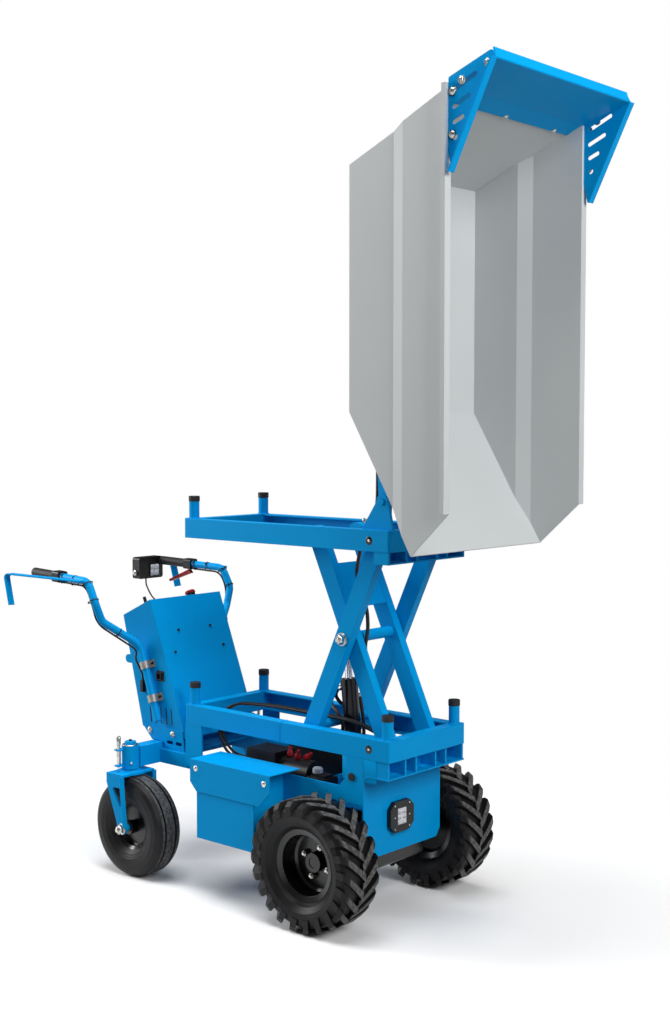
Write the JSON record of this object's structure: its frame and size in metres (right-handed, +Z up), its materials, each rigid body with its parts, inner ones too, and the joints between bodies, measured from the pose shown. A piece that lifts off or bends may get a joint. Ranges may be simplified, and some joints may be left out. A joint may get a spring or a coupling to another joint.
{
  "type": "site dumper",
  "caption": "Walk-behind electric site dumper with a scissor lift frame, forward-tipping skip, lugged drive wheels and swivel casters.",
  "frame": {"origin": "on the floor under the middle of the whole machine", "axes": "+X forward, the way the skip tips; +Y the machine's left; +Z up"},
  "size_m": [2.1069, 0.8364, 2.5323],
  "materials": {
    "blue_paint": "satin powder coat",
    "black_rubber": "matte",
    "black_plastic": "matte",
    "black_steel": "satin",
    "tyre_rubber": "matte",
    "chromed_rod": "polished",
    "skip_grey": "satin",
    "zinc": "zinc plated",
    "red_plastic": "gloss"
  },
  "bodies": {
    "chassis": {"lower_frame": "blue_paint", "lower_post_caps": "black_rubber", "chassis_rails": "blue_paint", "front_housing": "blue_paint", "work_light": "black_plastic", "component_tray": "blue_paint", "power_unit": "black_plastic", "control_block": "black_plastic", "battery_box_left": "blue_paint", "battery_box_right": "blue_paint", "battery_cover_left": "blue_paint", "battery_cover_right": "blue_paint", "drive_axle": "black_steel", "console_box": "blue_paint", "console_bracket": "blue_paint", "console_controls": "black_plastic", "handlebar_left": "blue_paint", "handlebar_right": "blue_paint", "handlebar_clamps": "zinc", "grip_left": "black_rubber", "grip_right": "black_rubber", "switch_block_left": "black_plastic", "switch_block_right": "black_plastic", "brake_lever": "red_plastic", "display_unit": "black_plastic", "housing_plugs": "black_rubber", "frame_hose_1": "black_rubber", "frame_hose_2": "black_rubber", "cable_plugs": "black_plastic", "handle_cable_left": "black_rubber", "handle_cable_right": "black_rubber", "display_cable": "black_rubber"},
    "inner_arms": {"scissor_inner": "blue_paint", "deck_hose": "black_rubber"},
    "outer_arms": {"scissor_outer": "blue_paint"},
    "upper_deck": {"upper_frame": "blue_paint", "upper_post_caps": "black_rubber", "deck_hose_top": "black_rubber"},
    "skip": {"skip_body": "skip_grey", "skip_underframe": "blue_paint", "skip_deflector": "blue_paint"},
    "lift_barrel": {"lift_cylinder_barrel": "black_steel", "lift_hose_1": "black_rubber", "lift_hose_2": "black_rubber", "lift_hose_3": "black_rubber"},
    "lift_rod": {"lift_cylinder_rod": "chromed_rod"},
    "tip_barrel": {"tip_cylinder_barrel": "black_steel", "tip_hose": "black_rubber"},
    "tip_rod": {"tip_cylinder_rod": "chromed_rod"},
    "front_wheel_left": {"front_rim_left": "black_steel", "front_tyre_left": "tyre_rubber"},
    "caster_left": {"caster_fork_left": "blue_paint"},
    "caster_wheel_left": {"caster_rim_left": "black_steel", "caster_tyre_left": "tyre_rubber"},
    "front_wheel_right": {"front_rim_right": "black_steel", "front_tyre_right": "tyre_rubber"},
    "caster_right": {"caster_fork_right": "blue_paint"},
    "caster_wheel_right": {"caster_rim_right": "black_steel", "caster_tyre_right": "tyre_rubber"}
  },
  "joints": [
    {"name": "lift", "type": "hinge", "parent": "chassis", "child": "inner_arms", "pos_m": [0.49075, 0, 0.5565], "axis": [0, 1, 0], "range_deg": [-50.56, 0]},
    {"name": "scissor_cross", "type": "hinge", "parent": "inner_arms", "child": "outer_arms", "pos_m": [0.34564, 0, 0.875], "axis": [0, 1, 0], "range_deg": [0, 101.13]},
    {"name": "deck_level", "type": "hinge", "parent": "outer_arms", "child": "upper_deck", "pos_m": [0.49075, 0, 1.1935], "axis": [0, 1, 0], "range_deg": [-50.57, 0]},
    {"name": "skip_tip", "type": "hinge", "parent": "upper_deck", "child": "skip", "pos_m": [0.52075, 0, 1.311], "axis": [0, 1, 0], "range_deg": [-90, 0]},
    {"name": "lift_barrel_swing", "type": "hinge", "parent": "chassis", "child": "lift_barrel", "pos_m": [0.27575, 0, 0.425], "axis": [0, 1, 0], "range_deg": [-48.1, 0]},
    {"name": "lift_rod_slide", "type": "slide", "parent": "lift_barrel", "child": "lift_rod", "axis": [-0.1017, 0, 0.9948], "range_m": [-0.21538, 0]},
    {"name": "tip_barrel_swing", "type": "hinge", "parent": "upper_deck", "child": "tip_barrel", "pos_m": [0.38775, 0, 1.192], "axis": [0, 1, 0], "range_deg": [-85.02, 0]},
    {"name": "tip_rod_slide", "type": "slide", "parent": "tip_barrel", "child": "tip_rod", "axis": [0.0542, 0, 0.9985], "range_m": [-0.25195, 0]},
    {"name": "front_wheel_left_roll", "type": "hinge", "parent": "chassis", "child": "front_wheel_left", "pos_m": [0.36075, 0.297, 0.205], "axis": [0, 1, 0], "continuous": true},
    {"name": "caster_left_swivel", "type": "hinge", "parent": "chassis", "child": "caster_left", "pos_m": [-0.49125, 0.3, 0.4], "axis": [0, 0, 1], "continuous": true},
    {"name": "caster_left_roll", "type": "hinge", "parent": "caster_left", "child": "caster_wheel_left", "pos_m": [-0.45425, 0.3, 0.17], "axis": [0, 1, 0], "continuous": true},
    {"name": "front_wheel_right_roll", "type": "hinge", "parent": "chassis", "child": "front_wheel_right", "pos_m": [0.36075, -0.297, 0.205], "axis": [0, 1, 0], "continuous": true},
    {"name": "caster_right_swivel", "type": "hinge", "parent": "chassis", "child": "caster_right", "pos_m": [-0.49125, -0.3, 0.4], "axis": [0, 0, 1], "continuous": true},
    {"name": "caster_right_roll", "type": "hinge", "parent": "caster_right", "child": "caster_wheel_right", "pos_m": [-0.45425, -0.3, 0.17], "axis": [0, 1, 0], "continuous": true}
  ],
  "couplings": [
    {"joint": "scissor_cross", "follows": "lift", "ratio": -2},
    {"joint": "deck_level", "follows": "lift", "ratio": 1},
    {"joint": "lift_barrel_swing", "follows": "lift", "ratio": 0.9493},
    {"joint": "lift_rod_slide", "follows": "lift", "m_per_rad": 0.2435},
    {"joint": "tip_barrel_swing", "follows": "skip_tip", "ratio": 0.9435},
    {"joint": "tip_rod_slide", "follows": "skip_tip", "m_per_rad": 0.16008}
  ]
}
